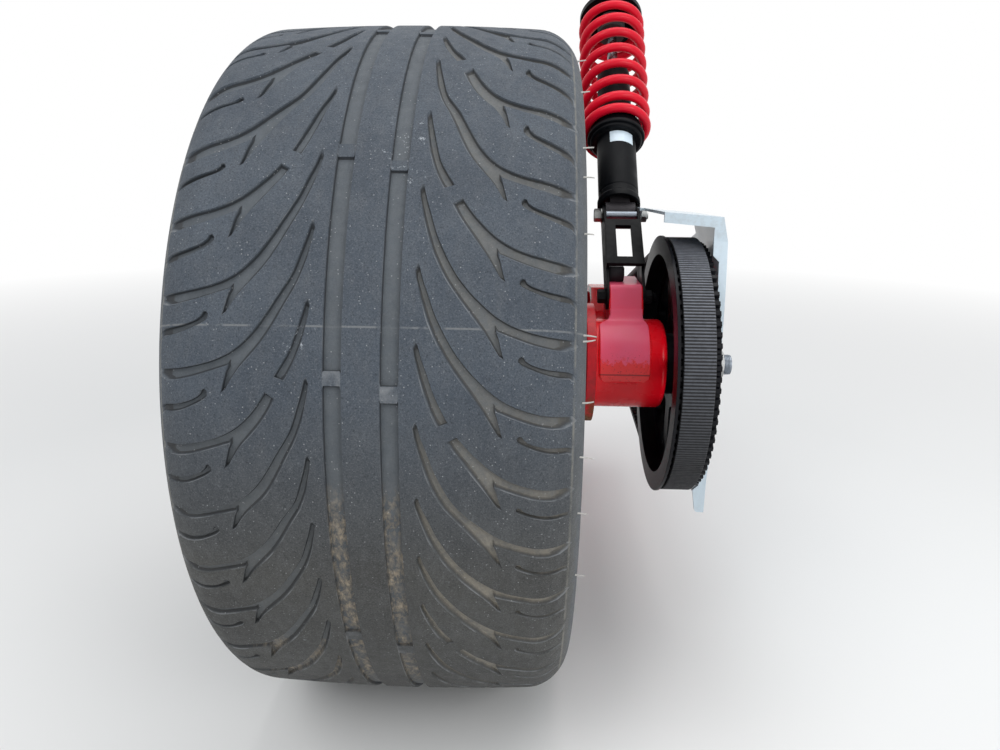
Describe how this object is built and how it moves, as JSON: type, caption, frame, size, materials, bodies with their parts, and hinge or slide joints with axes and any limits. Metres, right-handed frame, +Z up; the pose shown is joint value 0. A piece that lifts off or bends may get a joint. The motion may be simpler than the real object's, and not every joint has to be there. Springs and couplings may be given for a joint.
{
  "type": "rear wheel and swingarm",
  "caption": "Wide rear wheel on a red single-sided swingarm, with toothed belt drive, white belt guard, brake disc and coil-over shock, from a three wheeled car",
  "frame": {"origin": "on the swingarm's pivot axis, in the tyre's centre plane", "axes": "+X to the right along the pivot axis, +Y forward, +Z up, as the car stands"},
  "size_m": [0.4982, 0.9014, 0.7941],
  "materials": {
    "tyre_rubber": "worn and dusty",
    "belt_rubber": "matt, fine ribs",
    "stop_rubber": "matt",
    "rim_paint": "satin black",
    "black_paint": "semi gloss black",
    "red_paint": "gloss red",
    "spring_coat": "gloss red powder coat",
    "white_paint": "gloss white",
    "zinc": "zinc plated",
    "steel": "turned",
    "rust_steel": "rusty",
    "disc_steel": "ground, light rust",
    "pulley_black": "black anodised",
    "chrome_rod": "polished",
    "cast_aluminium": "cast",
    "pad_lining": "matt"
  },
  "bodies": {
    "swingarm": {"brake_pads": "pad_lining", "brake_caliper": "black_paint", "caliper_bracket": "black_paint", "hub_housing": "red_paint", "bearing_carrier": "rust_steel", "hub_bearings": "steel", "drive_belt": "belt_rubber", "swingarm_beam": "red_paint", "arm_brace": "red_paint", "pivot_tube": "red_paint", "shock_tab": "red_paint", "housing_strap": "red_paint", "riser_bracket": "black_paint", "riser_spacer": "zinc", "riser_bolt": "black_paint", "clevis_bolt": "zinc", "shock_lower_eye": "cast_aluminium", "shock_body": "black_paint", "spring_perch": "black_paint", "shock_spring": "spring_coat", "shock_rod": "chrome_rod", "shock_top": "black_paint", "bump_stop": "stop_rubber", "belt_guard": "white_paint", "guard_standoffs": "zinc", "drive_bearing": "steel", "spigot_collar": "zinc"},
    "wheel": {"tyre": "tyre_rubber", "rim": "rim_paint", "axle_shaft": "steel", "wheel_studs": "zinc", "lug_nuts": "zinc", "centre_cap": "black_paint", "valve_stem": "stop_rubber", "brake_disc": "disc_steel", "driven_pulley": "pulley_black", "axle_washer": "zinc", "axle_nut": "zinc"},
    "drive": {"drive_pulley": "pulley_black"}
  },
  "joints": [
    {"name": "wheel_spin", "type": "hinge", "parent": "swingarm", "child": "wheel", "pos_m": [0, -0.48, 0.06], "axis": [1, 0, 0], "continuous": true},
    {"name": "drive_spin", "type": "hinge", "parent": "swingarm", "child": "drive", "pos_m": [0, 0, 0], "axis": [1, 0, 0], "continuous": true}
  ],
  "couplings": [
    {"joint": "drive_spin", "follows": "wheel_spin", "ratio": 2.4375}
  ]
}
